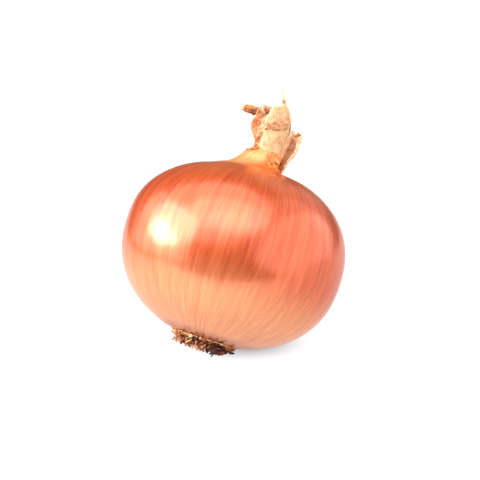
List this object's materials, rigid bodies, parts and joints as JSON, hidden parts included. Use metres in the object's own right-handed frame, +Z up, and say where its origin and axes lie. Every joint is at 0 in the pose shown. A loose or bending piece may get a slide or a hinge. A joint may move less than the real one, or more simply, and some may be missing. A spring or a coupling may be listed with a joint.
{
  "type": "onion",
  "caption": "Whole dry onion lying tilted on a small flat spot: a squat glossy copper bulb with a papery dried neck of curled leaf ends and a tuft of short dry roots.",
  "frame": {"origin": "middle of the small flat spot that the bulb rests on, level with the surface", "axes": "+Z up; -Y is the front; the neck leans to the right (+X) and to the back (+Y), and the root tuft points down to the left and to the front"},
  "size_m": [0.0799, 0.08, 0.0911],
  "materials": {
    "copper_skin": "thin dry outer skin drawn tight, satin to glossy, copper orange with fine lengthwise streaks and veins, golden at the neck",
    "pale_straw": "matt dried leaf, pale straw to tan, finely creased and fibrous",
    "russet_leaf": "matt dried leaf, pinkish to russet brown outside with pale rims, dark red-brown inside its curl",
    "root_brown": "matt dry roots, dark brown to straw, cut and curled short"
  },
  "bodies": {
    "root": {"bulb": "copper_skin", "root_tuft": "root_brown", "inner_leaves": "pale_straw", "front_leaf": "pale_straw", "back_leaf": "pale_straw", "left_leaf": "russet_leaf", "right_leaf": "russet_leaf", "beak_leaf": "russet_leaf"}
  },
  "joints": []
}
